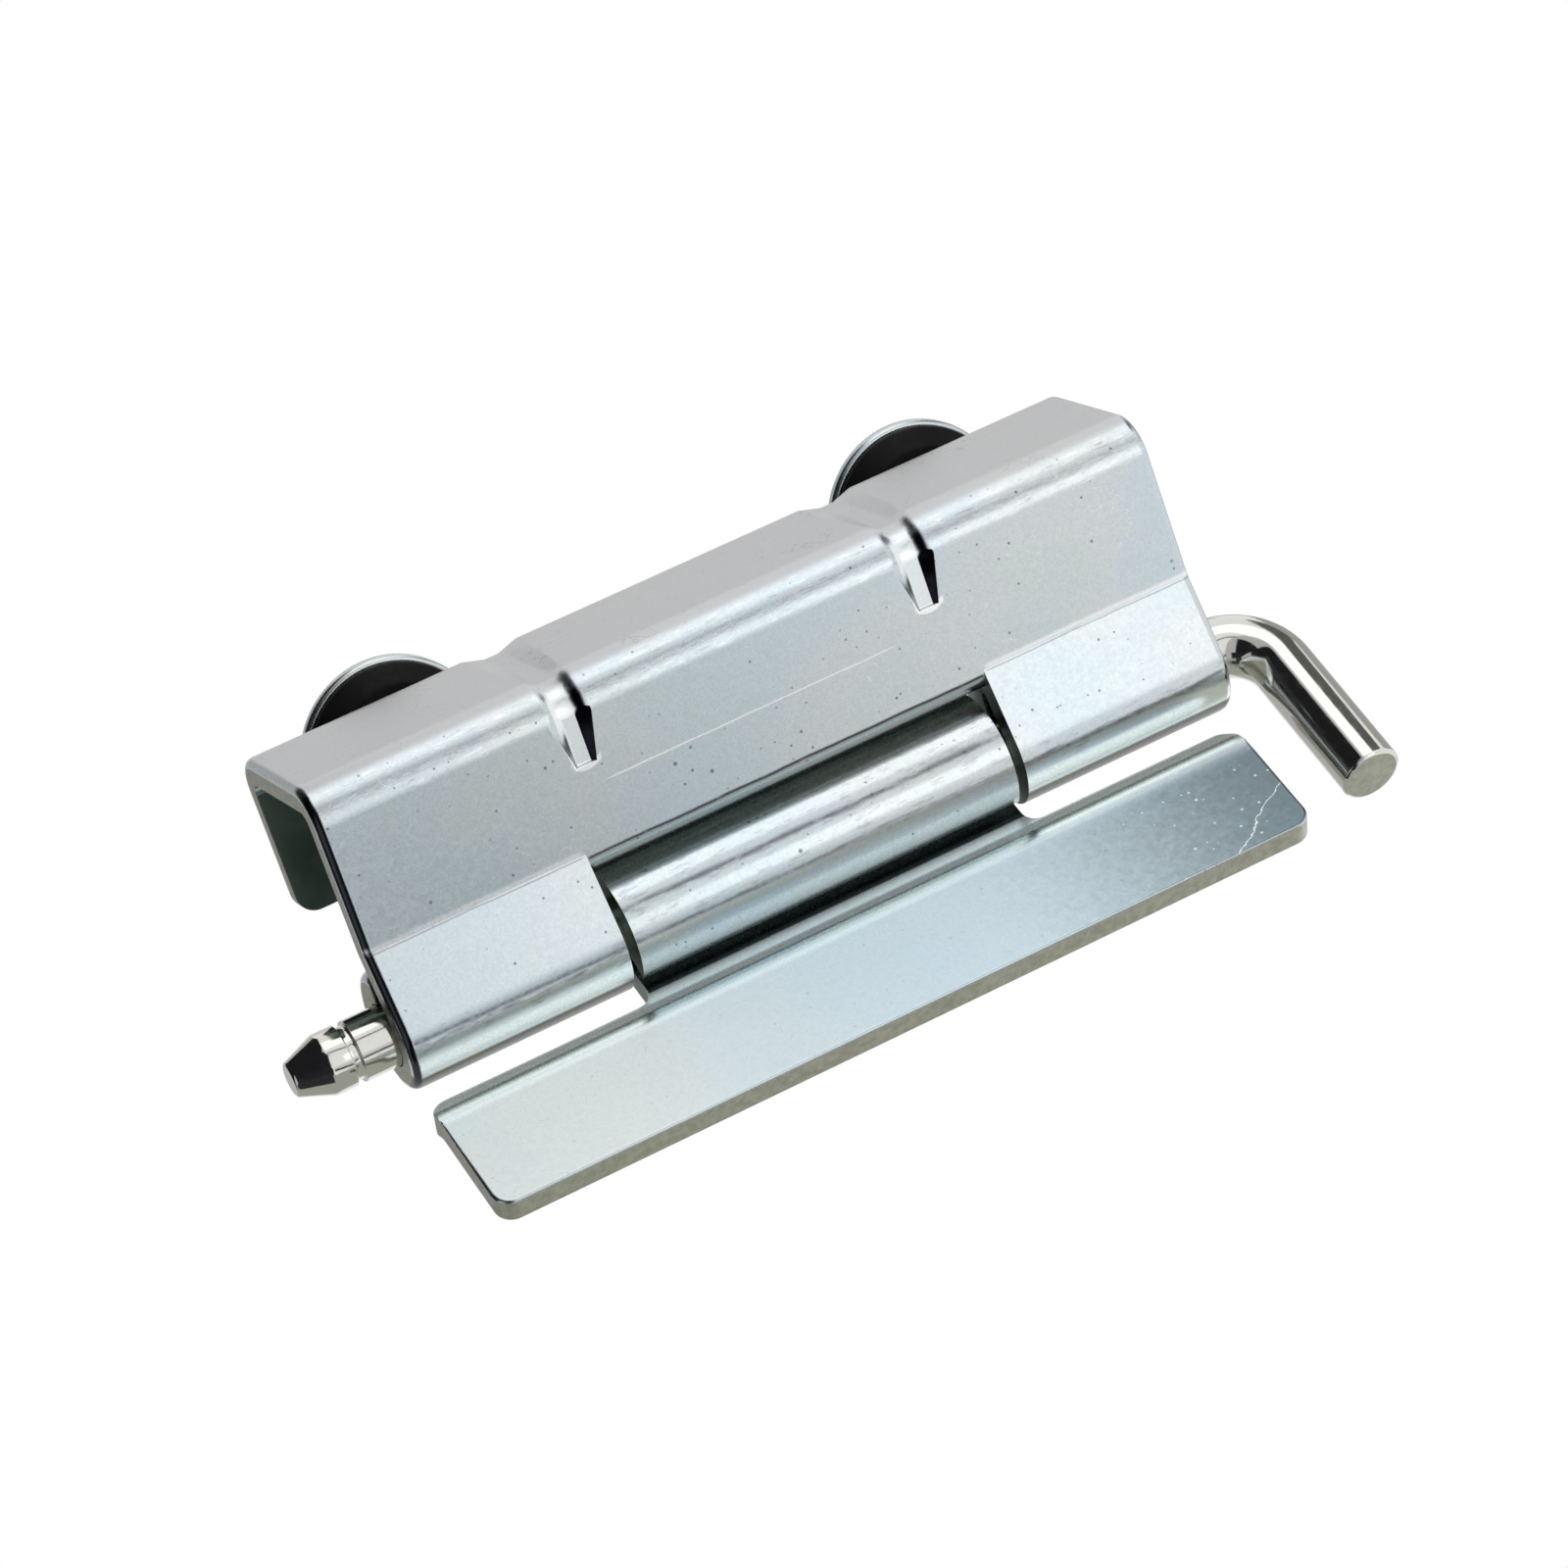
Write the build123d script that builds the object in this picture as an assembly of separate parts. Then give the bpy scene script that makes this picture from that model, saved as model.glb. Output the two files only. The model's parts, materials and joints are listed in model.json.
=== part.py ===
from build123d import *
import os
from math import asin, atan2, cos, degrees, hypot, radians, sin, tan

# A lift-off hinge for a cabinet door, with a pull-out pin. All sizes are in millimetres.
# Z is the hinge line, with the pin's handle at the top. X runs from the channel's web towards the pin,
# and Y runs from the open front of the hinge towards the wall that it is screwed to.
# The origin lies midway between the two screws, on the face that meets the wall.

# Sheet metal and pin fit
sheet = 2.5
bend_radius = 1.3            # inside radius of the channel's two bends
pin_diameter = 6.0
pin_clearance = 0.08         # on the radius, between the pin and every knuckle

# Frame bracket: a channel with a curled knuckle at each end of its front edge
bracket_length = 86.0
channel_depth = 21.0         # outside, from the front face to the wall face
back_flange_height = 16.2    # from the outside of the web to the free edge
back_corner_radius = 2.0
crease_height = 16.2         # from the outside of the web to where the front bends out to the knuckles
crease_radius = 0.8          # inside radius at the crease
pin_height = 24.7            # from the outside of the web to the pin's axis
pin_setback = 3.3            # from the front face back to the pin's axis
curl_end_offset = 0.4        # from the pin's axis towards the front, to the middle of the curl's free end
window_length = 41.5         # gap between the two knuckles
window_setback = 1.4         # from the crease to the window's upper edge
window_roll = 1.4            # rounding of that edge on the front, where the punch drew the sheet in

# Darts pressed across the front bend, which run on as shallow grooves over the web
dart_spacing = 35.5
dart_reach = 8.3             # from the outside of the web to the lower end of the dart
dart_depth = 0.65
dart_floor = 1.5             # width of the flat bottom
dart_end_width = 2.0         # over the sloping sides, at the lower end
dart_width = 4.2             # over the sloping sides, at the front bend
groove_width = 6.0           # over the sloping sides, at the back bend
groove_end_radius = 5.0      # outside, where the groove runs out over the back bend
groove_end_angle = 60.0      # degrees, far enough round the bend to have run out

# Door leaf: a plate whose middle tab curls round the pin between the knuckles
leaf_angle = 59.5            # degrees, from straight down (+X) towards the front (-Y)
leaf_length = 84.4
leaf_offset = 0.8            # from the tab's middle down to the plate's middle
leaf_reach = 21.9            # from the pin's axis to the plate's front edge
leaf_rise = 1.1              # step of the plate above the tab that passes behind the pin
leaf_step_start = 10.4       # from the pin's axis to where the plate starts to step down
leaf_step_angle = 30.0
leaf_back_edge = 7.1         # from the pin's axis to the plate's back edge, beside the tab
leaf_corner_radius = 1.8
leaf_relief_radius = 1.5     # at the two corners between tab and plate
leaf_side_gap = 1.0          # between the tab's knuckle and the bracket's knuckles, each side
leaf_curl_end = 19.5         # degrees, from the plate's direction back to the curl's free end

# Pull-out pin with a handle bent at a right angle
nose_reach = 9.75            # each of these four is measured from the bracket's lower end
nose_shoulder = 6.4
groove_far = 4.3
groove_near = 3.5
nose_diameter = 3.3
nose_edge = 0.5
pin_groove_diameter = 5.2
handle_gap = 2.5             # from the bracket's upper end to the handle
handle_reach = 20.75         # from the pin's axis to the handle's end
handle_angle = 55.0          # degrees, from straight down towards the front
handle_bend_radius = 2.4     # inside radius of the bend
handle_edge = 0.3

# Screws with bonded sealing washers
screw_spacing = 56.0
screw_inset = 7.0            # from the outside of the web to the screws
screw_diameter = 6.0
thread_clearance = 0.05      # on the radius, between screw and tapped hole
screw_length = 12.0
screw_tip_chamfer = 0.8
head_across_flats = 10.0
head_height = 4.0
head_chamfer = 0.7
collar_diameter = 9.0
collar_height = 2.0
washer_diameter = 18.2
washer_thickness = 1.2
washer_edge = 0.3
washer_hole_clearance = 0.2  # on the radius, round the screw
seal_diameter = 17.3
seal_face_diameter = 14.0
seal_thickness = 2.5
seal_edge = 0.9              # height of the seal's straight edge behind its bevel

# Derived values
half = sheet / 2
pin_radius = pin_diameter / 2
bore_radius = pin_radius + pin_clearance
curl_radius = bore_radius + half        # middle of the curled sheet
knuckle_radius = bore_radius + sheet
web_x = -screw_inset
front_y = -channel_depth
crease_x = web_x + crease_height
bend_x = web_x + sheet + bend_radius    # middle of both bends
front_bend_y = front_y + sheet + bend_radius
back_bend_y = -sheet - bend_radius
pin_x = web_x + pin_height
pin_y = front_y + pin_setback
pin_axis = (pin_x, pin_y)
top_z = bracket_length / 2
leaf_knuckle_length = window_length - 2 * leaf_side_gap
overcut = knuckle_radius                # how far cutting tools reach past the metal


def curled_sheet(flat_run, corner_radii, centre, start_angle, sweep_angle, length):
    """A sheet of even thickness: bent along flat_run, then curled round a centre, extruded along Z."""
    with BuildSketch() as section:
        with BuildLine():
            FilletPolyline(*flat_run, radius=corner_radii)
            CenterArc(centre, curl_radius, start_angle, sweep_angle)
        trace(line_width=sheet)
    return extrude(section.sketch, length / 2, both=True)


def upright_edges(shape, x, z):
    """The edges of a shape that run along Y at the given X and Z."""
    def at_place(edge):
        middle = edge.center()
        return hypot(middle.X - x, middle.Z - z) < sheet / 100
    return shape.edges().filter_by(Axis.Y).filter_by(at_place)


def along_y(shape, x, y, z):
    """Lays a shape that was made along Z so that its axis points along +Y from the given place."""
    return Location((x, y, z), (-90, 0, 0)) * shape


def dart_section(width):
    """Across a dart, with its depth along Y: a flat bottom with sloping sides."""
    above = half  # part of the section that stands clear of the skin
    floor = dart_floor / 2
    wide = floor + (width / 2 - floor) * (dart_depth + above) / dart_depth
    return make_face(Polyline((-wide, -above), (wide, -above), (floor, dart_depth), (-floor, dart_depth),
                              close=True))


def dart(skin, z):
    """Pressed in from a skin that lies at the given depth below the outside of the bracket.

    Runs up the front, round the front bend and over the web, growing wider."""
    def front_at(x, width):
        return Plane((x, front_y + skin, z), x_dir=(0, 0, 1), z_dir=(-1, 0, 0)) * dart_section(width)

    def web_at(y, width):
        return Plane((web_x + skin, y, z), x_dir=(0, 0, 1), z_dir=(0, 1, 0)) * dart_section(width)

    bend = front_at(bend_x, dart_width)
    back = web_at(back_bend_y, groove_width)
    return (loft([front_at(web_x + dart_reach, dart_end_width), bend])
            + revolve(bend, Axis((bend_x, front_bend_y, z), (0, 0, -1)), 90)
            + loft([web_at(front_bend_y, dart_width), back])
            + revolve(back, Axis((web_x + groove_end_radius, back_bend_y, z), (0, 0, -1)), groove_end_angle))


def window_lip(start_x):
    """The front runs on flat above the window, past the crease that only the knuckles' straps have."""
    window_x = crease_x + window_setback
    inside_x = start_x - sheet  # joins the front well above the crease
    with BuildSketch() as section:
        with Locations(((inside_x + window_x) / 2, front_y + half)):
            Rectangle(window_x - inside_x, sheet)
        fillet(section.vertices().sort_by_distance((window_x, front_y))[0], window_roll)
    return extrude(section.sketch, window_length / 2, both=True)


def make_bracket():
    web_mid = web_x + half
    front_mid = front_y + half
    to_pin = hypot(pin_x - crease_x, pin_y - front_mid)
    slope = atan2(pin_y - front_mid, pin_x - crease_x) - asin(curl_radius / to_pin)
    start_angle = degrees(slope) - 90
    meet = (pin_x + curl_radius * cos(radians(start_angle)), pin_y + curl_radius * sin(radians(start_angle)))
    flat_run = [(web_x + back_flange_height, -half), (web_mid, -half), (web_mid, front_mid),
                (crease_x, front_mid), meet]
    radii = [bend_radius + half, bend_radius + half, crease_radius + half]
    end_angle = 180 + degrees(asin(curl_end_offset / curl_radius))
    bracket = curled_sheet(flat_run, radii, pin_axis, start_angle, end_angle - start_angle, bracket_length)
    for z in (-top_z, top_z):
        bracket = fillet(upright_edges(bracket, web_x + back_flange_height, z), back_corner_radius)

    bend_start = crease_x - (crease_radius + half) * tan(abs(slope) / 2)
    far_x = pin_x + knuckle_radius + overcut
    low_y = front_y - overcut
    high_y = pin_y + knuckle_radius + half
    bracket -= Pos((bend_start + far_x) / 2, (low_y + high_y) / 2, 0) * Box(
        far_x - bend_start, high_y - low_y, window_length)
    bracket += window_lip(bend_start)

    for z in (-dart_spacing / 2, dart_spacing / 2):
        bracket += dart(sheet, z)
    for z in (-dart_spacing / 2, dart_spacing / 2):
        bracket -= dart(0, z)

    hole_radius = screw_diameter / 2 + thread_clearance
    bottom = (Align.CENTER, Align.CENTER, Align.MIN)
    for z in (-screw_spacing / 2, screw_spacing / 2):
        bracket += along_y(Cylinder(collar_diameter / 2, collar_height + half, align=bottom),
                           0, -sheet - collar_height, z)
        bracket -= along_y(Cylinder(hole_radius, sheet + collar_height, align=bottom),
                           0, -sheet - collar_height, z)
    return bracket


def make_leaf():
    """Built with the pin's axis at the origin and the plate along +X, then swung to its angle."""
    plate_mid = curl_radius - leaf_rise
    corner_radius = bend_radius + half
    tangent = corner_radius * tan(radians(leaf_step_angle / 2))
    step_top = leaf_step_start - tangent
    step_foot = step_top - leaf_rise / tan(radians(leaf_step_angle))
    flat_run = [(leaf_reach, plate_mid), (step_top, plate_mid), (step_foot, curl_radius), (0, curl_radius)]
    blank = curled_sheet(flat_run, [corner_radius, corner_radius], (0, 0), 90, 270 + leaf_curl_end,
                         leaf_length + 2 * leaf_offset)

    depth = 4 * knuckle_radius
    plate = Pos(leaf_back_edge, 0, -leaf_offset) * Box(
        leaf_reach - leaf_back_edge, depth, leaf_length, align=(Align.MIN, Align.CENTER, Align.CENTER))
    plate = fillet(plate.edges().filter_by(Axis.Y), leaf_corner_radius)
    tab = Pos(-2 * knuckle_radius, 0, 0) * Box(
        2 * knuckle_radius + leaf_step_start, depth, leaf_knuckle_length,
        align=(Align.MIN, Align.CENTER, Align.CENTER))
    outline = plate + tab
    for z in (-leaf_knuckle_length / 2, leaf_knuckle_length / 2):
        outline = fillet(upright_edges(outline, leaf_back_edge, z), leaf_relief_radius)
    return Location((pin_x, pin_y, 0), (0, 0, -leaf_angle)) * (blank & outline)


def make_pin():
    """Built with its axis on Z and the handle along +X, then swung to its angle."""
    low_z = -top_z
    handle_z = top_z + handle_gap + pin_radius
    bend = handle_bend_radius + pin_radius
    groove_radius = pin_groove_diameter / 2
    half_profile = [
        (0, low_z - nose_reach), (nose_diameter / 2, low_z - nose_reach),
        (pin_radius, low_z - nose_shoulder), (pin_radius, low_z - groove_far),
        (groove_radius, low_z - groove_far), (groove_radius, low_z - groove_near),
        (pin_radius, low_z - groove_near), (pin_radius, handle_z - bend), (0, handle_z - bend)]
    face = make_face(Polyline(*half_profile, close=True))
    nose_corner = face.vertices().sort_by_distance((nose_diameter / 2, low_z - nose_reach))[0]
    face = fillet(nose_corner, nose_edge)
    rod = revolve(Plane.XZ * face, Axis.Z)
    bend_face = Plane((0, 0, handle_z - bend)) * Circle(pin_radius)
    elbow = revolve(bend_face, Axis((bend, 0, handle_z - bend), (0, 1, 0)), 90)
    handle = Plane((bend, 0, handle_z), x_dir=(0, 1, 0), z_dir=(1, 0, 0)) * Cylinder(
        pin_radius, handle_reach - bend, align=(Align.CENTER, Align.CENTER, Align.MIN))
    handle = chamfer(handle.edges().group_by(Axis.X)[-1], handle_edge)
    return Location((pin_x, pin_y, 0), (0, 0, -handle_angle)) * (rod + elbow + handle)


def make_seal(z):
    """Rubber ring whose bevelled face rests on the wall face of the back flange."""
    hole = screw_diameter / 2 + washer_hole_clearance
    ring = [(hole, 0), (seal_face_diameter / 2, 0), (seal_diameter / 2, seal_thickness - seal_edge),
            (seal_diameter / 2, seal_thickness), (hole, seal_thickness)]
    return along_y(revolve(Plane.XZ * make_face(Polyline(*ring, close=True)), Axis.Z), 0, 0, z)


def make_washer(z):
    hole = screw_diameter / 2 + washer_hole_clearance
    base = (Align.CENTER, Align.CENTER, Align.MIN)
    disc = Cylinder(washer_diameter / 2, washer_thickness, align=base)
    disc = chamfer(disc.edges().filter_by(GeomType.CIRCLE).group_by(Axis.Z)[0], washer_edge)
    disc -= Cylinder(hole, washer_thickness, align=base)
    return along_y(disc, 0, seal_thickness, z)


def make_screw(z):
    """Hexagon screw driven in from the wall side."""
    base = (Align.CENTER, Align.CENTER, Align.MIN)
    head = extrude(RegularPolygon(head_across_flats / 2, 6, major_radius=False), head_height)
    corner_radius = head_across_flats / 2 / cos(radians(30))
    dome = Cylinder(corner_radius, head_height, align=base)
    dome = chamfer(dome.edges().group_by(Axis.Z)[-1], head_chamfer * tan(radians(30)), head_chamfer)
    shank = Pos(0, 0, -screw_length) * Cylinder(screw_diameter / 2, screw_length, align=base)
    shank = chamfer(shank.edges().group_by(Axis.Z)[0], screw_tip_chamfer)
    return along_y((head & dome) + shank, 0, seal_thickness + washer_thickness, z)


os.makedirs("parts", exist_ok=True)
pieces = {"frame_bracket": make_bracket(), "door_leaf": make_leaf(), "hinge_pin": make_pin()}
for place, z in (("upper", screw_spacing / 2), ("lower", -screw_spacing / 2)):
    pieces[place + "_screw"] = make_screw(z)
    pieces[place + "_washer"] = make_washer(z)
    pieces[place + "_seal"] = make_seal(z)
for name, shape in pieces.items():
    export_step(shape, f"parts/{name}.step")
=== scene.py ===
import bmesh
import bpy
import json
from math import atan2, cos, pi, radians, sin
from mathutils import Matrix, Vector
from mathutils.bvhtree import BVHTree

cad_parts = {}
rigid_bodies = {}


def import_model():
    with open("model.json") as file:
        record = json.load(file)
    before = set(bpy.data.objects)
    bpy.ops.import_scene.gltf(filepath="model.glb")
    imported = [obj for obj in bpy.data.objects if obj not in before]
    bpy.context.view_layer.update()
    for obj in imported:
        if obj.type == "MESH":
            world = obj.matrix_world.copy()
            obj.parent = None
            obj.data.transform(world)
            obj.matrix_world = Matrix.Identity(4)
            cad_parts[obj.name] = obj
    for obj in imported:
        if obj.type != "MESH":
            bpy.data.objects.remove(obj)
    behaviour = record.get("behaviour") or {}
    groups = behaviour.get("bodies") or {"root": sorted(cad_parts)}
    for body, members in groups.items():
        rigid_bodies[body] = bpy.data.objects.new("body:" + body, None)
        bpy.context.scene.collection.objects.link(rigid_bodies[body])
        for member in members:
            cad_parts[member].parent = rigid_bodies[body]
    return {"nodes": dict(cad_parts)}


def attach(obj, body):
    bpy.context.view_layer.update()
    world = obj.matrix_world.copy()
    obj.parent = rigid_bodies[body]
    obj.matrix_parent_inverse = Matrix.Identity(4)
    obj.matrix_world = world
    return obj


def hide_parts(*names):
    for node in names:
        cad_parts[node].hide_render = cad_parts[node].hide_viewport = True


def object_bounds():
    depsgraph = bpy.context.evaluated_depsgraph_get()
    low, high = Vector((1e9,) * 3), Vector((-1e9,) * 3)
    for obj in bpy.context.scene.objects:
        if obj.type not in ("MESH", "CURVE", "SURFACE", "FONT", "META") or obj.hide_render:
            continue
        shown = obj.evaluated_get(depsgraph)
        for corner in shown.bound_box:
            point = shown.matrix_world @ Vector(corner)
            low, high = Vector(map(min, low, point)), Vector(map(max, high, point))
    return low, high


for old in list(bpy.data.objects):
    bpy.data.objects.remove(old)
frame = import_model()
cad_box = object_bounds()
cad_middle = (cad_box[0] + cad_box[1]) / 2

# Sizes that repeat the part's own, in metres
MM = 0.001
SHEET = 2.5 * MM
FRONT_Y = -21.0 * MM
CREASE_X = 9.2 * MM
DART_PLACES = (-17.75 * MM, 17.75 * MM)
SCREW_PLACES = {"upper": 28.0 * MM, "lower": -28.0 * MM}
SCREW_HEAD_Y = 3.7 * MM
SCREW_HEAD_TALL = 4.0 * MM
SCREW_HEAD_FLAT = 5.0 * MM           # from the screw's middle to a flat of its head
SCREW_LENGTH = 12.0 * MM

# The screw's thread, in metres
THREAD_PITCH = 1.0 * MM
THREAD_CREST = 2.98 * MM
THREAD_ROOT = 2.45 * MM
THREAD_TIP = 2.2 * MM
THREAD_TAPER = 0.9 * MM
THREAD_FLANK = 1.25                  # above one, the crest keeps a narrow flat
THREAD_STEPS = 36
THREAD_ROWS = 120

# Places for the finishes, in millimetres
BEND_CENTRE = (-3.2, -17.2)          # middle of the front bend
PIN_CENTRE = (17.7, -17.7)           # the hinge line
LEAF_ALONG = Vector((0.5075384, -0.8616292, 0))
LEAF_NORMAL = Vector((-0.8616292, -0.5075384, 0))
LIP_LINE = 9.45                      # where the window's edge starts to roll in
WINDOW_END = (20.4, 20.8)            # from the hinge's middle, where the painted shade of the window's edge fades out
STRAP_START = (20.7, 21.4)           # and where the crease's painted highlight and shade on a knuckle's strap fade in
KNUCKLE_START = (12.0, 13.0)         # across the bracket, where the painted light and streaks of its knuckles fade in
LEAF_STEP = 6.1                      # from the hinge line to where light reaches the leaf's tab
PIN_REACH = PIN_CENTRE[0] * LEAF_ALONG.x + PIN_CENTRE[1] * LEAF_ALONG.y
PIN_HEIGHT = PIN_CENTRE[0] * LEAF_NORMAL.x + PIN_CENTRE[1] * LEAF_NORMAL.y
# Sides of the bracket, as directions
WEB_SIDE = (-1, 0, 0)
FRONT_SIDE = (0, -1, 0)
LOWER_END = (0, 0, -1)
# The scratch on the leaf: share of its reach, and share of its climb there
SCRATCH_PATH = ((0.0, 0.95), (0.21, 0.72), (0.36, 0.545), (0.55, 0.41), (0.73, 0.30), (0.88, 0.16),
                (1.0, 0.0))
SCRATCH_REACH = (16.4, 22.0)         # its two ends, measured from the hinge line
SCRATCH_FOOT = 33.0                  # its lowest height
SCRATCH_CLIMB = 8.8

# The pin, in millimetres: radius, height and the size of each corner's rounding
PIN_CORNERS = ((0.0, -52.75, 0.0), (1.65, -52.75, 0.34), (3.0, -49.4, 0.2), (3.0, -47.3, 0.12),
               (2.6, -47.3, 0.12), (2.6, -46.5, 0.12), (3.0, -46.5, 0.12), (3.0, 43.1, 0.0))
HANDLE_BEND = 5.4
HANDLE_Z = 48.5
HANDLE_CORNERS = ((3.0, HANDLE_BEND, 0.0), (3.0, 20.45, 0.12), (2.7, 20.75, 0.12), (0.0, 20.75, 0.0))
HANDLE_TURN = radians(-55)
PIN_STEPS = 72
BEND_PARTS = 24
CORNER_PARTS = 4
CORNER_SHARE = 0.4                   # the most of a run that a corner's rounding may take

# Edges of the stamped pieces
DIE_ROLL = 0.8 * MM                  # rounding of the outer edges, where the punch drew the sheet in
LEAF_ROLL = 0.3 * MM                 # the same on the leaf
LEAF_ROLL_FROM = 10.5                # millimetres from the hinge line, just past the leaf's step
BURR_EDGE = 0.10 * MM                # rounding of all other sharp edges
ROLL_PARTS = 4                       # faces across an edge that the punch drew in
EDGE_PARTS = 2                       # faces across any other rounded edge
CRISP_X = 8.0 * MM                   # the edges beside the gaps between the knuckles stay crisp
CRISP_Z = (19.5 * MM, 22.5 * MM)
LIP_DRAW = 0.28 * MM                 # how far the window's rolled edge is drawn out
LIP_X = (9.25 * MM, 10.65 * MM)      # where that edge lies
LIP_FRONT_Y = -18.0 * MM
LIP_HALF_Z = 20.8 * MM
LIP_DEPTH = 1.4 * MM                 # past the crease, where it is drawn out in full
CURL_SWELL = 0.45 * MM               # how far the curls are out of round
CURL_SWELL_AT = radians(-18)         # from the web's side towards the front
CURL_SWELL_SPAN = radians(44)
CURL_SKIN = (5.0 * MM, 6.0 * MM)     # radius of a curl's outer side
SHARP_ANGLE = radians(28)            # sharper edges are rounded
CREASED_ANGLE = radians(35)          # shading breaks at sharper edges
FLAT_ANGLE = radians(0.5)            # faces that meet flatter than this become one
WELD = 0.001 * MM                    # points closer than this become one

# Where each finish stands in a stamped piece's list
SKIN = 0
CUT = 1
# The third finish is painted shade
SHADE_SLOT = 2

# Telling sheared faces from the sheet's two sides
FACE_TILT = 0.05                     # least tilt of the window's rolled edge, to the front and the knuckles
FACE_UPRIGHT = 0.1                   # most that such a face looks along the hinge
FACE_END = 0.5                       # least that an end face looks along the hinge
PROBE = 0.01 * MM                    # how far inside a face its probe starts
SHEARED_DEPTH = 1.5 * SHEET
DART_HALF = 3.2 * MM
DART_END_X = 2.0 * MM
GAP_FACE_Z = 30.0 * MM               # the knuckles' ends beside the gaps lie within this height
CURL_END_RADIUS = 6.9 * MM
BORE_RADIUS = 3.6 * MM
CHANNEL_MIDDLE_X = 4.0 * MM
CHANNEL_INSIDE = 8.0 * MM            # from the web's outer face to a point inside the channel

# Rounding of the small pieces
HEAD_CROWN = 0.5 * MM
CROWN_PARTS = 3                      # faces across the head's upper edge
HEAD_EDGE = 0.12 * MM
DISC_EDGE = 0.15 * MM
RING_EDGE = 0.25 * MM

# Camera, from the photograph's own perspective
CAMERA_PLACE = Vector((-157.31, -520.86, -154.25)) * MM
CAMERA_RIGHT = Vector((0.319049, -0.374343, 0.870675))
CAMERA_UP = Vector((-0.896914, 0.177545, 0.404998))
CAMERA_BACK = Vector((-0.306192, -0.910135, -0.279108))
SENSOR_WIDTH = 36.0
LENS = 138.74
NEAREST = 0.01
FARTHEST = 20.0

# The studio, in metres and in the photograph's own right, up and towards the camera
FLOOR_Z = -0.25
FLOOR_REACH = 4.0
AMBIENT = 0.6
# Lamps: place, width and radiance
SOFTBOXES = {
    "window_light": ((0.37, 0.08, 0.46), 0.22, 0.60),
    "overhead_light": ((-0.01, 0.506, 0.21), 0.32, 0.50),
}
# Plain cards that the metal mirrors: middle, half across, half upward and tone
CARDS = {
    "left_dark": ((-0.20, 0.0, 0.08), (0, 0.42, 0), (0, 0, 0.18), (0.015, 0.015, 0.016)),
    "front_left_dark": ((-0.095, -0.045, 0.26), (0.105, 0, 0), (0, 0.195, 0), (0.015, 0.015, 0.018)),
    "front_low_dark": ((-0.065, -0.21, 0.255), (0.135, 0, 0), (0, 0.11, 0), (0.02, 0.02, 0.025)),
    "below_left_dark": ((-0.11, -0.205, 0.16), (0.11, 0, 0), (0, 0, 0.10), (0.03, 0.03, 0.035)),
    "front_gap": ((0.11, 0.25, 0.35), (0.10, 0, 0), (0, -0.008, 0.012), (0.03, 0.03, 0.03)),
    "overhead_dark": ((0.115, 0.225, -0.05), (0.045, 0, 0), (0, 0, 0.08), (0.13, 0.13, 0.125)),
    "overhead_grey": ((0.22, 0.225, -0.29), (0.12, 0, 0), (0, 0, 0.16), (0.42, 0.42, 0.40)),
    "far_right_grey": ((0.20, 0.09, -0.45), (0.18, 0, 0), (0, 0.135, 0), (0.44, 0.44, 0.42)),
    "far_left_grey": ((-0.16, 0.31, -0.45), (0.19, 0, 0), (0, 0.16, 0), (0.75, 0.75, 0.75)),
    "right_grey": ((0.22, -0.135, 0.29), (0.055, 0, -0.042), (0, 0.05, 0), (0.71, 0.755, 0.765)),
    "right_dark": ((0.248, -0.155, 0.209), (0.083, 0, -0.10), (0, 0.020, 0), (0.05, 0.05, 0.055)),
    "below_grey": ((0.09, -0.20, -0.05), (0.31, 0, 0), (0, 0, 0.11), (0.42, 0.43, 0.38)),
    "below_front_grey": ((0.20, -0.20, 0.13), (0.20, 0, 0), (0, 0, 0.07), (0.42, 0.43, 0.38)),
}


def colour(red, green, blue):
    return (red, green, blue, 1.0)


WHITE = colour(1.0, 1.0, 1.0)
BLACK = colour(0.02, 0.02, 0.03)


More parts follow.
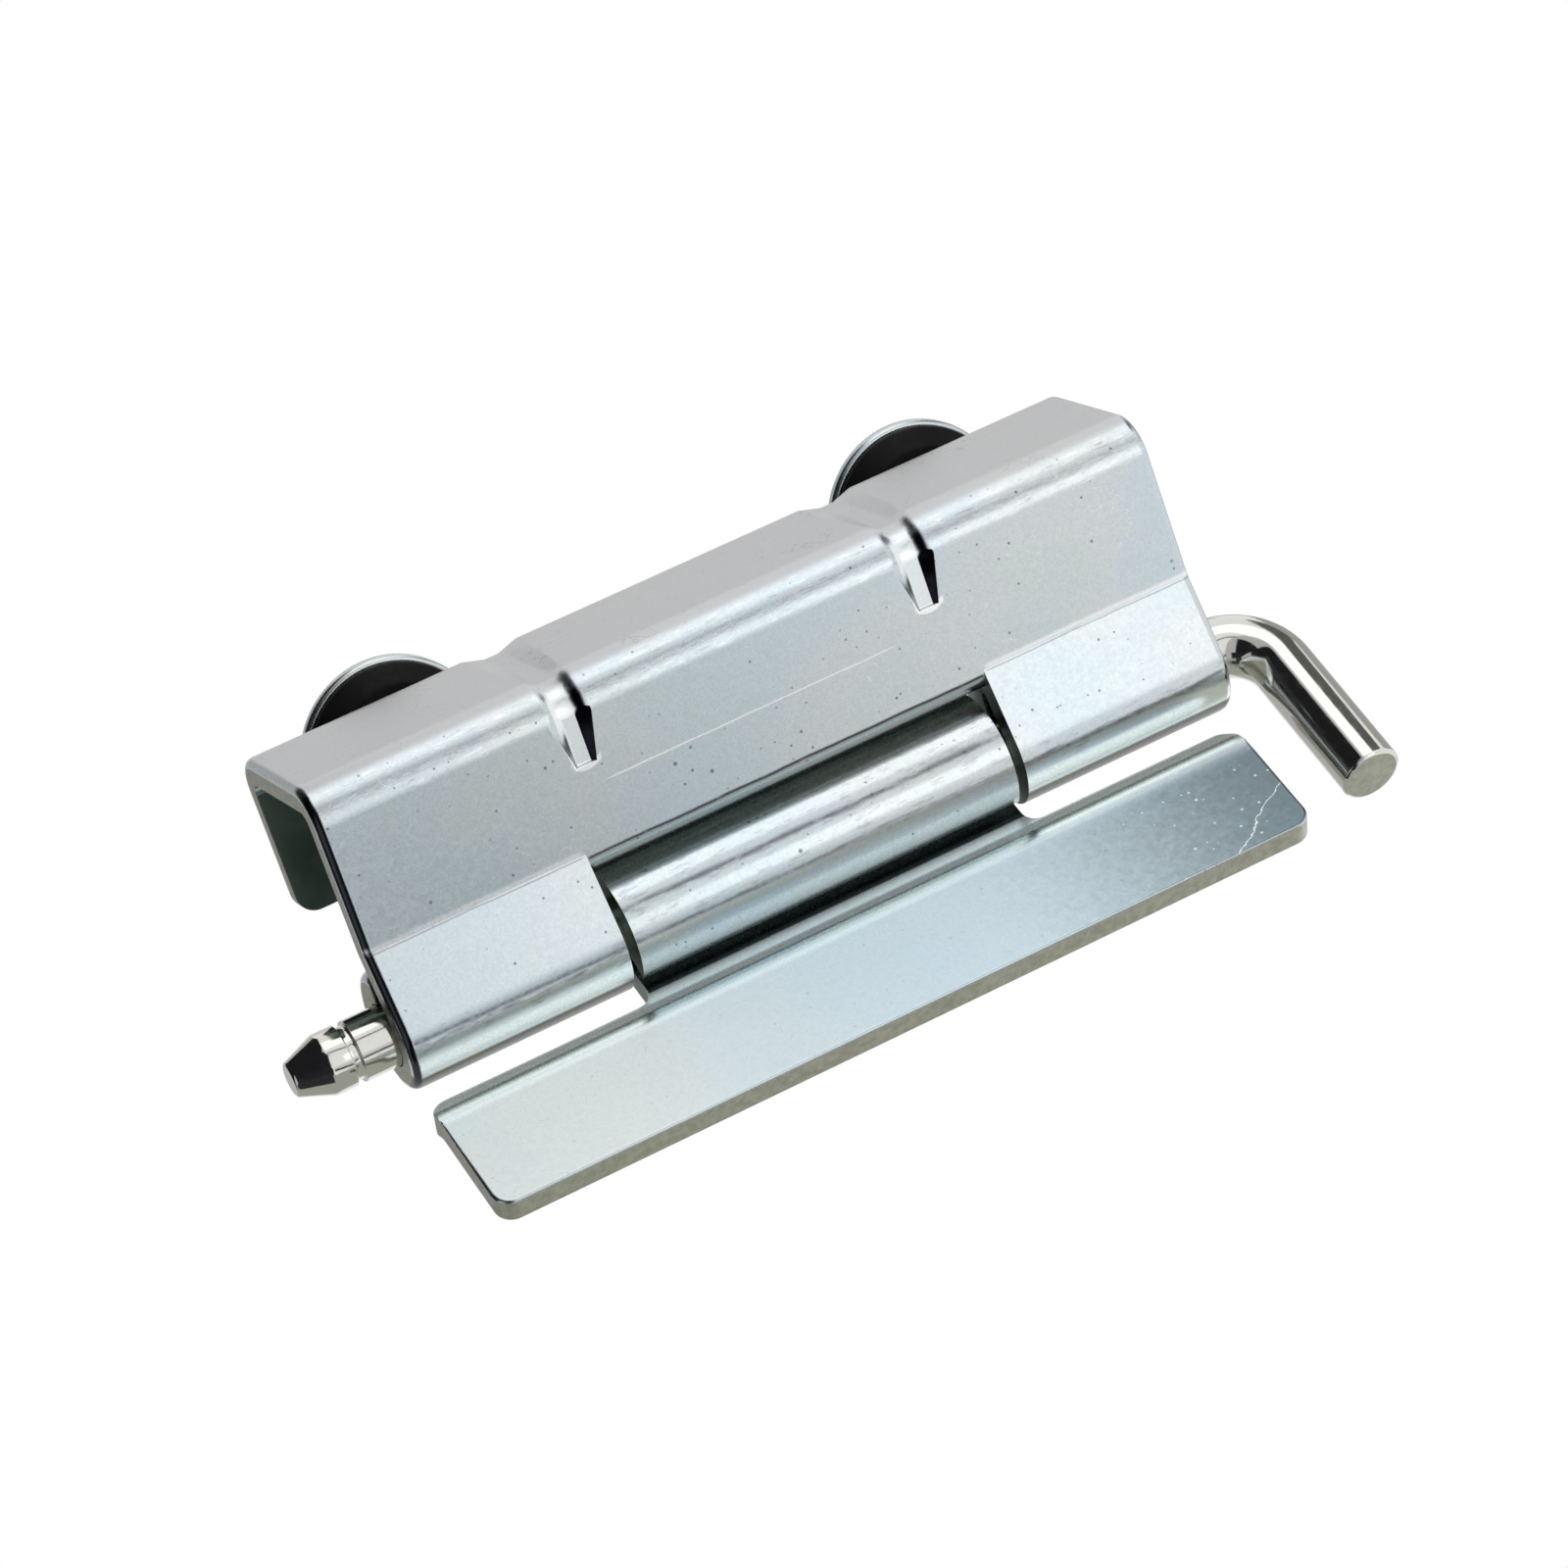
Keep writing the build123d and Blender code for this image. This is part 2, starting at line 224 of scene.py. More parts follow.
class Shader:
    """Adds and links the nodes of one material. Lengths in its coordinates are millimetres."""

    def __init__(self, name):
        self.material = bpy.data.materials.new(name)
        self.material.use_nodes = True
        self.tree = self.material.node_tree
        self.surface = self.tree.nodes["Principled BSDF"]
        place = self.add("ShaderNodeTexCoord")
        self.normal = place.outputs["Normal"]
        self.place = self.add("ShaderNodeVectorMath", {0: place.outputs["Object"], "Scale": 1 / MM},
                              operation="SCALE").outputs[0]
        split = self.add("ShaderNodeSeparateXYZ", {0: self.place})
        self.x, self.y, self.z = split.outputs

    def add(self, kind, inputs=None, **settings):
        node = self.tree.nodes.new(kind)
        for name, value in settings.items():
            setattr(node, name, value)
        for name, value in (inputs or {}).items():
            self.set(node.inputs[name], value)
        return node

    def set(self, socket, value):
        if isinstance(value, bpy.types.NodeSocket):
            self.tree.links.new(value, socket)
        else:
            socket.default_value = value

    def math(self, operation, a, b=0.0):
        return self.add("ShaderNodeMath", {0: a, 1: b}, operation=operation).outputs[0]

    def product(self, first, *others):
        for other in others:
            first = self.math("MULTIPLY", first, other)
        return first

    def ramp(self, value, low, high, to_low=0.0, to_high=1.0, ease="SMOOTHSTEP"):
        """value from low to high becomes to_low to to_high, eased at both ends."""
        return self.add("ShaderNodeMapRange", {"Value": value, "From Min": low, "From Max": high,
                                               "To Min": to_low, "To Max": to_high},
                        interpolation_type=ease).outputs["Result"]

    def fall(self, value, low, high):
        """One up to low, falling to zero at high."""
        return self.ramp(value, low, high, 1.0, 0.0)

    def within(self, value, low, high, ease):
        """One from low to high, falling to zero over the given width outside them."""
        return self.product(self.ramp(value, low - ease, low), self.fall(value, high, high + ease))

    def near(self, value, middle, width):
        """One at the middle, falling to zero at the given width on each side."""
        off = self.math("ABSOLUTE", self.math("SUBTRACT", value, middle))
        return self.fall(off, 0.0, width)

    def sway(self, noise, size):
        """A noise as an offset to both sides of zero."""
        return self.product(self.math("SUBTRACT", noise, 0.5), size)

    def dot(self, vector, direction):
        return self.add("ShaderNodeVectorMath", {0: vector, 1: direction},
                        operation="DOT_PRODUCT").outputs["Value"]

    def along(self, direction):
        """How far a place lies in a direction."""
        return self.dot(self.place, direction)

    def from_middle(self):
        """How far a place lies from the middle of the hinge's length, towards either end."""
        return self.math("ABSOLUTE", self.z)

    def faces(self, direction, low=0.9, high=0.98):
        """One where the surface faces a direction."""
        return self.ramp(self.dot(self.normal, direction), low, high)

    def angle_round(self, centre):
        """Degrees round a line along Z, from zero at the web's side to 90 at the front."""
        across = self.math("SUBTRACT", centre[0], self.x)
        out = self.math("SUBTRACT", centre[1], self.y)
        return self.math("MULTIPLY", self.math("ARCTAN2", out, across), 180 / pi)

    def moved(self, x, y, z):
        """The place shifted, so that a second texture doesn't repeat the first."""
        return self.add("ShaderNodeVectorMath", {0: self.place, 1: (x, y, z)}, operation="ADD").outputs[0]

    def joined(self, x, y, z=0.0):
        return self.add("ShaderNodeCombineXYZ", {0: x, 1: y, 2: z}).outputs[0]

    def noise(self, vector, scale, detail=3.0, roughness=0.5):
        return self.add("ShaderNodeTexNoise", {"Vector": vector, "Scale": scale, "Detail": detail,
                                               "Roughness": roughness}).outputs["Fac"]

    def specks(self, vector, scale, size, share):
        """Small dots of mixed sizes, in a share of the cells."""
        cells = self.add("ShaderNodeTexVoronoi", {"Vector": vector, "Scale": scale})
        pick = self.add("ShaderNodeSeparateColor", {0: cells.outputs["Color"]})
        reach = self.math("MULTIPLY", pick.outputs[0], size * scale)
        dot = self.fall(self.math("DIVIDE", cells.outputs["Distance"], reach), 0.5, 1.0)
        return self.product(dot, self.math("LESS_THAN", pick.outputs[1], share))

    def mix(self, amount, a, b):
        node = self.add("ShaderNodeMix", data_type="RGBA", blend_type="MIX", clamp_factor=True)
        self.set(node.inputs["Factor"], amount)
        self.set(node.inputs[6], a)
        self.set(node.inputs[7], b)
        return node.outputs[2]

    def paint(self, base, tone, strength, *masks):
        """The base with a tone laid over it where all the masks are one."""
        return self.mix(self.product(strength, *masks), base, tone)

    def bump(self, height, strength, distance):
        return self.add("ShaderNodeBump", {"Height": height, "Strength": strength,
                                           "Distance": distance * MM}).outputs[0]

    def finish(self, **sockets):
        for name, value in sockets.items():
            self.set(self.surface.inputs[name.replace("_", " ")], value)
        return self.material


def passivated(s):
    """Base colour and roughness of bright zinc with a pale blue to cream film and fine handling marks."""
    film = s.ramp(s.noise(s.place, 0.06, 2.0), 0.40, 0.60)
    base = s.mix(film, colour(0.60, 0.68, 0.725), colour(0.65, 0.69, 0.695))
    green = s.ramp(s.noise(s.moved(31, 7, 11), 0.09, 2.0), 0.50, 0.66)
    base = s.paint(base, colour(0.61, 0.68, 0.67), 0.5, green)
    grain = s.noise(s.place, 3.4, 3.0, 0.6)
    base = s.paint(base, colour(0.42, 0.45, 0.47), s.ramp(grain, 0.30, 0.70, 0.24, 0.0))
    dots = s.specks(s.place, 0.42, 0.28, 0.26)
    small = s.specks(s.moved(9, 5, 3), 1.0, 0.20, 0.55)
    base = s.paint(base, colour(0.13, 0.14, 0.15), 0.8, s.math("MAXIMUM", dots, small))
    hair = s.near(s.noise(s.moved(3, 17, 29), 0.28, 2.0), 0.5, 0.004)
    hair = s.product(hair, s.ramp(s.noise(s.moved(11, 2, 5), 0.15, 1.0), 0.50, 0.60))
    base = s.paint(base, colour(0.92, 0.94, 0.95), 0.4, hair)
    rough = s.ramp(s.noise(s.place, 1.8, 3.0), 0.3, 0.7, 0.24, 0.29)
    return base, rough


def sheet_skin(s):
    """The faint unevenness of plated sheet."""
    return s.bump(s.noise(s.place, 1.1, 3.0), 0.25, 0.01)


def painted_reflection_line(s, angle, middle, width, seed):
    """A broken dark line along the hinge: a painted reflection of dark surroundings, at a fixed angle round
    the knuckle.
    """
    wander = s.sway(s.noise(s.joined(s.product(s.z, 0.06), seed), 1.0, 3.0), 12.0)
    line = s.near(s.math("ADD", angle, wander), middle, width)
    patches = s.noise(s.joined(s.product(s.z, 0.30), s.product(angle, 0.12), seed), 1.0, 4.0, 0.65)
    return s.product(line, s.ramp(patches, 0.36, 0.60))


def tool_streaks(s, angle, low, high, seed):
    """Where a bent part of the sheet lies between two angles, and fine streaks along the hinge there."""
    bent = s.within(angle, low, high, 8.0)
    fine = s.noise(s.joined(s.product(angle, 0.16), s.product(s.z, 0.35), seed), 1.0, 4.0, 0.65)
    return bent, fine


def curl_painted_light_and_streaks(s, base, rough, curl, low, lines, underside_highlight, seed):
    """A knuckle's painted light and streaks: a painted highlight on its lower side, broken dark lines of
    painted reflection, and streaks from an angle on.

    Returns the base, the roughness and where the knuckle turns away below.
    """
    angle = s.angle_round(PIN_CENTRE)
    # Painted highlight: a pale tone on the knuckle's lower side, from 108 to 138 degrees round the hinge
    # line
    base = s.paint(base, underside_highlight, 0.95, s.within(angle, 108.0, 138.0, 7.0), curl)
    bent, fine = tool_streaks(s, angle, low, 104.0, seed)
    # Broken dark lines of painted reflection round the knuckle
    for middle, width, depth in lines:
        line = painted_reflection_line(s, angle, middle, width, seed + middle)
        base = s.paint(base, colour(0.12, 0.12, 0.15), depth, line, curl)
    base = s.paint(base, colour(0.30, 0.30, 0.32), 0.4, bent, curl, s.fall(fine, 0.34, 0.48))
    rough = s.math("SUBTRACT", rough, s.product(curl, bent, 0.08))
    return base, rough, s.product(s.within(angle, 134.0, 164.0, 5.0), curl)


def web_rub(s, base, rough):
    """The web is rubbed to a warmer, duller grey with fine curly hair lines."""
    web = s.faces(WEB_SIDE, 0.7, 0.95)
    base = s.paint(base, colour(0.60, 0.60, 0.605), 0.8, web)
    hair = s.near(s.noise(s.place, 0.22, 3.0), 0.5, 0.007)
    hair = s.product(hair, s.ramp(s.noise(s.place, 0.12, 1.0), 0.50, 0.58), web)
    base = s.paint(base, colour(0.25, 0.25, 0.25), 0.45, hair)
    return base, s.math("ADD", rough, s.product(web, 0.08))


def bend_marks(s, base, turn):
    """What the folding tool leaves on the front bend: a dark smear, and dark and pale streaks."""
    bent, fine = tool_streaks(s, turn, 40.0, 84.0, 3.0)
    base = s.paint(base, colour(0.20, 0.20, 0.22), 0.5, s.near(turn, 65.0, 12.0), s.ramp(fine, 0.44, 0.62))
    base = s.paint(base, colour(0.30, 0.31, 0.33), 0.6, bent, s.fall(fine, 0.30, 0.42))
    return s.paint(base, colour(0.86, 0.86, 0.86), 0.5, bent, s.ramp(fine, 0.54, 0.64))


def painted_dark_end_edge(s, base):
    """The rounded edge of the lower end is painted black: a painted dark reflection."""
    tilt = s.dot(s.normal, LOWER_END)
    rounded = s.product(s.ramp(tilt, 0.10, 0.30), s.fall(tilt, 0.85, 0.97))
    at_end = s.product(s.fall(s.z, -42.1, -41.9), s.fall(s.y, -19.6, -18.6))
    return s.paint(base, colour(0.03, 0.035, 0.05), 0.95, rounded, at_end)


def front_painted_lines(s, base):
    """Painted highlight and shade along the crease over the knuckles, and painted shade along the window's
    rolled edge between them.
    """
    waved = s.math("ADD", s.x, s.sway(s.noise(s.place, 0.25, 2.0), 0.25))
    # The crease shows as a painted highlight, a pale line, above a thin grey line of painted shade
    strap = s.ramp(s.from_middle(), *STRAP_START)
    base = s.paint(base, colour(0.95, 0.96, 0.97), 0.75, s.near(waved, 8.75, 0.42), strap)
    base = s.paint(base, colour(0.28, 0.30, 0.33), 0.75, s.near(waved, 9.16, 0.14), strap)
    # The rolled edge starts with a dark line of painted shade and ends in a dim grey, also painted shade
    window = s.fall(s.from_middle(), *WINDOW_END)
    broken = s.ramp(s.noise(s.joined(s.product(s.z, 0.25), 2.0), 1.0, 3.0), 0.30, 0.45, 0.45, 0.95)
    base = s.paint(base, colour(0.05, 0.055, 0.07), broken, s.near(waved, LIP_LINE, 0.24), window)
    dull = s.product(s.ramp(s.x, 9.85, 10.3), s.fall(s.x, 11.2, 11.4))
    return s.paint(base, colour(0.30, 0.32, 0.30), 0.8, dull, window)


def dart_painted_light(s, base, turn):
    """A dart's painted light: a painted highlight on its pale floor, a thin line of painted shade on the
    left, a black painted reflection on the right wall and a white painted highlight on the lip below.
    """
    beside = s.math("SUBTRACT", s.from_middle(), DART_PLACES[1] / MM)
    beside = s.product(beside, s.math("SIGN", s.z))
    on_front = s.ramp(turn, 30.0, 55.0)
    floor = s.product(s.within(beside, -1.3, 0.8, 0.15), s.fall(s.x, 1.25, 1.35), on_front)
    base = s.paint(base, colour(0.90, 0.93, 0.94), 0.7, floor)
    line = s.product(s.near(beside, -0.95, 0.22), s.within(s.x, -1.6, 1.1, 0.5))
    base = s.paint(base, colour(0.12, 0.13, 0.14), 0.7, line)
    inside = s.product(s.within(beside, -3.0, 3.0, 0.2), s.fall(s.x, 1.6, 1.9), on_front)
    base = s.paint(base, BLACK, s.faces(LOWER_END, 0.12, 0.32), inside)
    bow = s.math("SUBTRACT", s.x, s.product(beside, beside, -0.22))
    lip = s.product(s.within(bow, 1.35, 1.75, 0.15), s.within(beside, -1.1, 1.4, 0.3), s.faces(FRONT_SIDE))
    return s.paint(base, WHITE, 0.9, lip)


def front_scratch(s, base, rough):
    """One long bright scratch on the front."""
    waver = s.product(s.noise(s.place, 0.4, 2.0), 0.15)
    scratch = s.product(s.near(s.math("ADD", s.x, waver), 3.40, 0.13),
                        s.within(s.z, -15.0, 12.0, 2.0), s.faces(FRONT_SIDE))
    return s.paint(base, WHITE, scratch), s.math("ADD", rough, s.product(scratch, 0.3))


def bracket_zinc(name):
    s = Shader(name)
    base, rough = passivated(s)
    turn = s.angle_round(BEND_CENTRE)
    base, rough = web_rub(s, base, rough)
    base = bend_marks(s, base, turn)
    curl = s.ramp(s.x, *KNUCKLE_START)
    # The knuckles get a painted highlight below in this pale tone, and a dark line of painted reflection at
    # 95 degrees
    base, rough, low = curl_painted_light_and_streaks(s, base, rough, curl, 86.0, ((95.0, 3.2, 0.75),),
                                  colour(0.92, 1.0, 0.99), 5.0)
    # Below, the knuckles are painted a dark olive and made less metallic: painted shade where they turn
    # away
    base = s.paint(base, colour(0.14, 0.155, 0.12), low)
    # Painted dark reflection on the lower end's rounded edge
    base = painted_dark_end_edge(s, base)
    # Painted highlight and shade along the crease and the window's edge
    base = front_painted_lines(s, base)
    # Painted highlight, shade and reflection in the darts
    base = dart_painted_light(s, base, turn)
    base, rough = front_scratch(s, base, rough)
    metal = s.math("SUBTRACT", 1.0, s.product(low, 0.85))
    return s.finish(Base_Color=base, Metallic=metal, Roughness=rough, Normal=sheet_skin(s))


def plate_reflection_and_highlight(s, base, reach, face):
    """The leaf's plate is cleaner, its film's tone changing from greenish at its lower end to bluer further
    up as a painted reflection, with a painted highlight on the pale step.
    """
    reflected_tint = s.mix(s.ramp(s.z, -34.0, 4.0), colour(0.59, 0.645, 0.63), colour(0.46, 0.565, 0.63))
    plate = s.product(face, s.ramp(reach, 6.0, 7.0))
    base = s.paint(base, reflected_tint, 0.75, plate)
    # Painted highlight on the step
    pale = s.mix(s.fall(s.from_middle(), 20.0, 22.0), colour(0.94, 1.0, 0.99), colour(0.86, 0.98, 1.0))
    return s.paint(base, pale, 0.95, plate, s.fall(reach, 9.6, 11.0))


def end_reflection_and_pits(s, base, reach, face):
    """The leaf's upper end is painted dark as a painted reflection, with a mottled border, and has pale
    pits.
    """
    mottled = s.math("ADD", s.z, s.sway(s.noise(s.place, 1.2, 4.0, 0.7), 16.0))
    dark_reflection = s.product(s.ramp(mottled, 8.0, 44.0), face, s.ramp(reach, 9.0, 12.0))
    # Painted dark reflection over the upper end
    base = s.paint(base, colour(0.10, 0.14, 0.16), 0.86, dark_reflection)
    large = s.specks(s.place, 0.55, 0.36, 0.5)
    small = s.specks(s.moved(7, 1, 4), 1.3, 0.20, 0.65)
    pits = s.product(s.math("MAXIMUM", large, small), s.ramp(s.z, 20.0, 32.0), face)
    return s.paint(base, colour(0.80, 0.84, 0.86), 0.65, pits)


def leaf_scratch(s, base, reach, face):
    """A wandering bright scratch across the leaf's upper end."""
    path = s.add("ShaderNodeFloatCurve", {"Value": s.ramp(reach, *SCRATCH_REACH, ease="LINEAR")})
    curve = path.mapping.curves[0]
    curve.points[0].location = SCRATCH_PATH[0]
    curve.points[1].location = SCRATCH_PATH[-1]
    for point in SCRATCH_PATH[1:-1]:
        curve.points.new(*point)
    path.mapping.update()
    jitter = s.sway(s.noise(s.place, 1.1, 3.0, 0.6), 1.6)
    climb = s.math("ADD", s.product(path.outputs[0], SCRATCH_CLIMB), SCRATCH_FOOT)
    off = s.math("SUBTRACT", s.z, s.math("ADD", climb, jitter))
    scratch = s.product(s.near(off, 0.0, 0.15), face, s.ramp(reach, 16.3, 16.6))
    return s.paint(base, colour(0.90, 0.93, 0.94), 0.8, scratch)


def slot_shade(s, base, reach):
    """Nothing bright reaches the leaf's tab in the slot below its knuckle."""
    height = s.math("SUBTRACT", s.along(LEAF_NORMAL), PIN_HEIGHT)
    slot = s.product(s.fall(reach, LEAF_STEP - 0.1, LEAF_STEP + 0.1), s.fall(height, -1.0, 0.0),
                     s.faces(LEAF_NORMAL))
    return s.paint(base, colour(0.06, 0.08, 0.08), slot)


def leaf_zinc(name):
    s = Shader(name)
    base, rough = passivated(s)
    reach = s.math("SUBTRACT", s.along(LEAF_ALONG), PIN_REACH)
    face = s.faces(LEAF_NORMAL, 0.5, 0.8)
    base = plate_reflection_and_highlight(s, base, reach, face)
    base = end_reflection_and_pits(s, base, reach, face)
    base = leaf_scratch(s, base, reach, face)
    curl = s.fall(reach, 4.5, 5.5)
    # The leaf's knuckle gets a painted highlight below in this pale tone, and dark lines of painted
    # reflection at 58.5 and 92 degrees
    base, rough, low = curl_painted_light_and_streaks(s, base, rough, curl, 25.0, ((58.5, 6.0, 0.6), (92.0, 3.2, 0.75)),
                                  colour(0.90, 1.0, 1.0), 4.0)
    base = slot_shade(s, base, reach)
    # Under the knuckle and on the step beside it the surface is made partly diffuse, so that the painted
    # highlight there stays pale
    on_step = s.product(s.within(reach, 6.0, 8.3, 0.7), s.faces(LEAF_NORMAL, 0.2, 0.5), 0.55)
    highlight_diffuse = s.math("MAXIMUM", s.product(low, 0.35), on_step)
    metal = s.math("SUBTRACT", 1.0, highlight_diffuse)
    return s.finish(Base_Color=base, Metallic=metal, Roughness=rough, Normal=sheet_skin(s))


def plain_zinc(name):
    s = Shader(name)
    base, rough = passivated(s)
    return s.finish(Base_Color=base, Metallic=1.0, Roughness=rough)


def painted_shade_recess(name):
    """Painted shade: a dark green for the inside of the channel, the bores and the knuckles' ends beside
    the gaps, where shade falls.
    """
    s = Shader(name)
    cloud = s.ramp(s.noise(s.place, 0.2, 3.0), 0.3, 0.7)
    base = s.mix(cloud, colour(0.16, 0.21, 0.185), colour(0.25, 0.31, 0.275))
    return s.finish(Base_Color=base, Metallic=1.0, Roughness=0.42)


def sheared_edge(name):
    s = Shader(name)
    grain = s.noise(s.place, 1.3, 4.0, 0.6)
    base = s.mix(s.ramp(grain, 0.3, 0.7), colour(0.48, 0.485, 0.42), colour(0.63, 0.635, 0.56))
    skin = s.bump(s.noise(s.place, 1.5, 3.0), 0.4, 0.03)
    return s.finish(Base_Color=base, Metallic=1.0, Roughness=0.48, Normal=skin)


def nickel(name):
    s = Shader(name)
    rough = s.ramp(s.noise(s.place, 0.9, 4.0), 0.35, 0.7, 0.07, 0.15)
    marks = s.specks(s.place, 0.5, 0.25, 0.25)
    base = s.paint(colour(0.70, 0.695, 0.655), colour(0.38, 0.38, 0.35), 0.4, marks)
    skin = s.bump(s.noise(s.place, 1.3, 3.0), 0.2, 0.012)
    return s.finish(Base_Color=base, Metallic=1.0, Roughness=rough, Normal=skin)


def rubber(name):
    s = Shader(name)
    rough = s.ramp(s.noise(s.place, 1.0, 3.0), 0.3, 0.7, 0.42, 0.58)
    return s.finish(Base_Color=colour(0.004, 0.004, 0.0045), Roughness=rough, Specular_IOR_Level=0.15)


def hinge_line(z):
    """The point of the hinge line at a height, in metres."""
    return Vector((PIN_CENTRE[0] * MM, PIN_CENTRE[1] * MM, z))


def copy_of(node):
    """A welded copy of a CAD node's mesh, with the flat faces whole."""
    shape = bmesh.new()
    shape.from_mesh(frame["nodes"][node].data)
    bmesh.ops.remove_doubles(shape, verts=shape.verts, dist=WELD)
    bmesh.ops.dissolve_limit(shape, angle_limit=FLAT_ANGLE, verts=shape.verts, edges=shape.edges)
    bmesh.ops.recalc_face_normals(shape, faces=shape.faces)
    return shape


def sharp_edges(shape):
    return [e for e in shape.edges if e.is_manifold and e.calc_face_angle() > SHARP_ANGLE]


def round_edges(shape, edges, width, segments, material=-1):
    bmesh.ops.bevel(shape, geom=edges, offset=width, offset_type="OFFSET", segments=segments, profile=0.5,
                    affect="EDGES", clamp_overlap=False, material=material)


def sheet_centre(place):
    """A point on the inner side of the sheet: the channel's middle, or the hinge line past the crease."""
    if place.x > CREASE_X:
        return hinge_line(place.z)
    return Vector((min(place.x + CHANNEL_INSIDE, CHANNEL_MIDDLE_X), FRONT_Y / 2, place.z))


def bracket_outside(place):
    return place - sheet_centre(place)


def leaf_upper_side(place):
    """The leaf's upper side, but only past its step, which keeps crisp edges."""
    reach = place.dot(LEAF_ALONG) / MM - PIN_REACH
    return LEAF_NORMAL if reach > LEAF_ROLL_FROM else Vector()


def edge_middle(edge):
    return (edge.verts[0].co + edge.verts[1].co) / 2


def is_rolled(edge, sheared, drawn_side):
    """True between a sheared face and the side of the sheet that the punch drew in."""
    skin = [f for f in edge.link_faces if f not in sheared]
    return len(skin) == 1 and skin[0].normal.dot(drawn_side(edge_middle(edge))) > 0


def by_gap(edge):
    """True beside the gaps between the knuckles, where the edges stay crisp."""
    middle = edge_middle(edge)
    return middle.x > CRISP_X and CRISP_Z[0] < abs(middle.z) < CRISP_Z[1]


def inner_points(shape):
    """The middle of each face's largest triangle."""
    best = {}
    for loops in shape.calc_loop_triangles():
        a, b, c = (loop.vert.co for loop in loops)
        area = (b - a).cross(c - a).length
        face = loops[0].face
        if area > best.get(face, (0.0, None))[0]:
            best[face] = (area, (a + b + c) / 3)
    return {face: point for face, (area, point) in best.items()}


def is_sheared(tree, point, facing):
    """True where the solid behind a face is deeper than the sheet is thick."""
    depth = tree.ray_cast(point - facing * PROBE, -facing)[3]
    return depth is None or depth > SHEARED_DEPTH


def mark_bracket(shape):
    """Gives the sheared faces their finishes, and the inside of the channel and the knuckles' ends by the
    gaps the painted shade. Returns the sheared faces.
    """
    sheared = set()
    tree = BVHTree.FromBMesh(shape)
    for face, point in inner_points(shape).items():
        facing = face.normal
        in_lip = facing.x > FACE_TILT and facing.y < -FACE_TILT and abs(facing.z) < FACE_UPRIGHT
        in_dart = min(abs(point.z - z) for z in DART_PLACES) < DART_HALF and point.x < DART_END_X
        if in_lip:
            continue
        if not in_dart and is_sheared(tree, point, facing):
            sheared.add(face)
            in_gap = point.x > CREASE_X and abs(point.z) < GAP_FACE_Z and abs(facing.z) > FACE_END
            face.material_index = SHADE_SLOT if in_gap else CUT
        elif facing.dot(sheet_centre(point) - point) > 0:
            face.material_index = SHADE_SLOT
    return sheared


def mark_leaf(shape):
    """Gives the sheared faces their finishes, and the knuckle's bore and its curl's ends the painted shade.
    Returns the sheared faces.
    """
    sheared = set()
    tree = BVHTree.FromBMesh(shape)
    for face, point in inner_points(shape).items():
        radius = (point - hinge_line(point.z)).length
        if is_sheared(tree, point, face.normal):
            sheared.add(face)
            face.material_index = SHADE_SLOT if radius < CURL_END_RADIUS else CUT
        elif radius < BORE_RADIUS:
            face.material_index = SHADE_SLOT
    return sheared


def swell_curl(shape):
    """A curl is not quite round: it stands out a little at the back."""
    for vert in shape.verts:
        off = vert.co - hinge_line(vert.co.z)
        turn = atan2(-off.y, -off.x) - CURL_SWELL_AT
        if CURL_SKIN[0] < off.length < CURL_SKIN[1] and abs(turn) < CURL_SWELL_SPAN:
            vert.co += off.normalized() * CURL_SWELL * cos(turn / CURL_SWELL_SPAN * pi / 2) ** 2


def form_bracket(shape):
    """The curls are not quite round, and the punch drew the window's rolled edge a little further out."""
    swell_curl(shape)
    for vert in shape.verts:
        place = vert.co
        if abs(place.z) < LIP_HALF_Z and place.y < LIP_FRONT_Y and LIP_X[0] < place.x < LIP_X[1]:
            place.x += LIP_DRAW * (place.x - CREASE_X) / LIP_DEPTH


def finished_piece(name, shape, node, body, materials):
    mesh = bpy.data.meshes.new(name)
    for face in shape.faces:
        face.smooth = True
    for edge in shape.edges:
        edge.smooth = not (edge.is_manifold and edge.calc_face_angle() > CREASED_ANGLE)
    shape.to_mesh(mesh)
    shape.free()
    piece = bpy.data.objects.new(name, mesh)
    bpy.context.scene.collection.objects.link(piece)
    for material in materials:
        mesh.materials.append(material)
    weighted = piece.modifiers.new("even_normals", "WEIGHTED_NORMAL")
    weighted.keep_sharp = True
    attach(piece, body)
    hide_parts(node)
    return piece


def stamped_piece(name, node, body, form, mark, drawn_side, roll, materials):
    """A piece of sheet with one side's edges drawn in by the punch and the others only broken."""
    shape = copy_of(node)
    form(shape)
    sheared = mark(shape)
    rolled = [e for e in sharp_edges(shape) if is_rolled(e, sheared, drawn_side) and not by_gap(e)]
    round_edges(shape, rolled, roll, ROLL_PARTS, SKIN)
    round_edges(shape, [e for e in sharp_edges(shape) if not by_gap(e)], BURR_EDGE, EDGE_PARTS)
    bmesh.ops.dissolve_degenerate(shape, dist=WELD, edges=shape.edges)
    return finished_piece(name, shape, node, body, materials)


def rounded_piece(name, node, body, width, material):
    shape = copy_of(node)
    round_edges(shape, sharp_edges(shape), width, EDGE_PARTS)
    return finished_piece(name, shape, node, body, [material])


